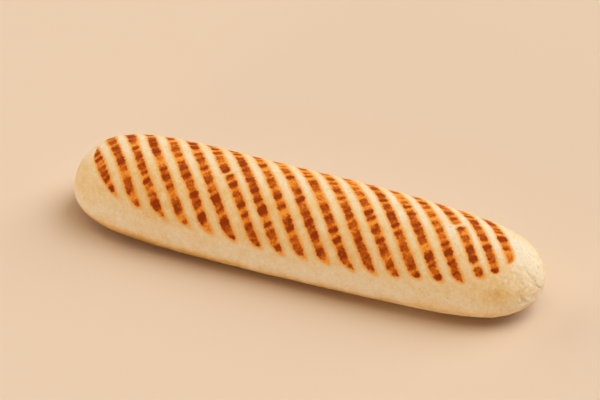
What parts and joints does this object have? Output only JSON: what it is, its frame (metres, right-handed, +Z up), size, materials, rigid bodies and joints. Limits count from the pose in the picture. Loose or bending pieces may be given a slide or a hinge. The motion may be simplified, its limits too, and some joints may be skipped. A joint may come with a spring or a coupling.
{
  "type": "bread roll",
  "caption": "Long soft bread roll with rounded blunt ends and slanting grill marks across its crown, lying on the flat of its underside.",
  "frame": {"origin": "under the middle of the roll, on the flat of its underside", "axes": "+X along the roll from its blunter end to its rounder end, +Y across it, +Z up"},
  "size_m": [0.25, 0.061, 0.0435],
  "materials": {
    "crust": null
  },
  "bodies": {
    "root": {"bread_roll": "crust"}
  },
  "joints": []
}
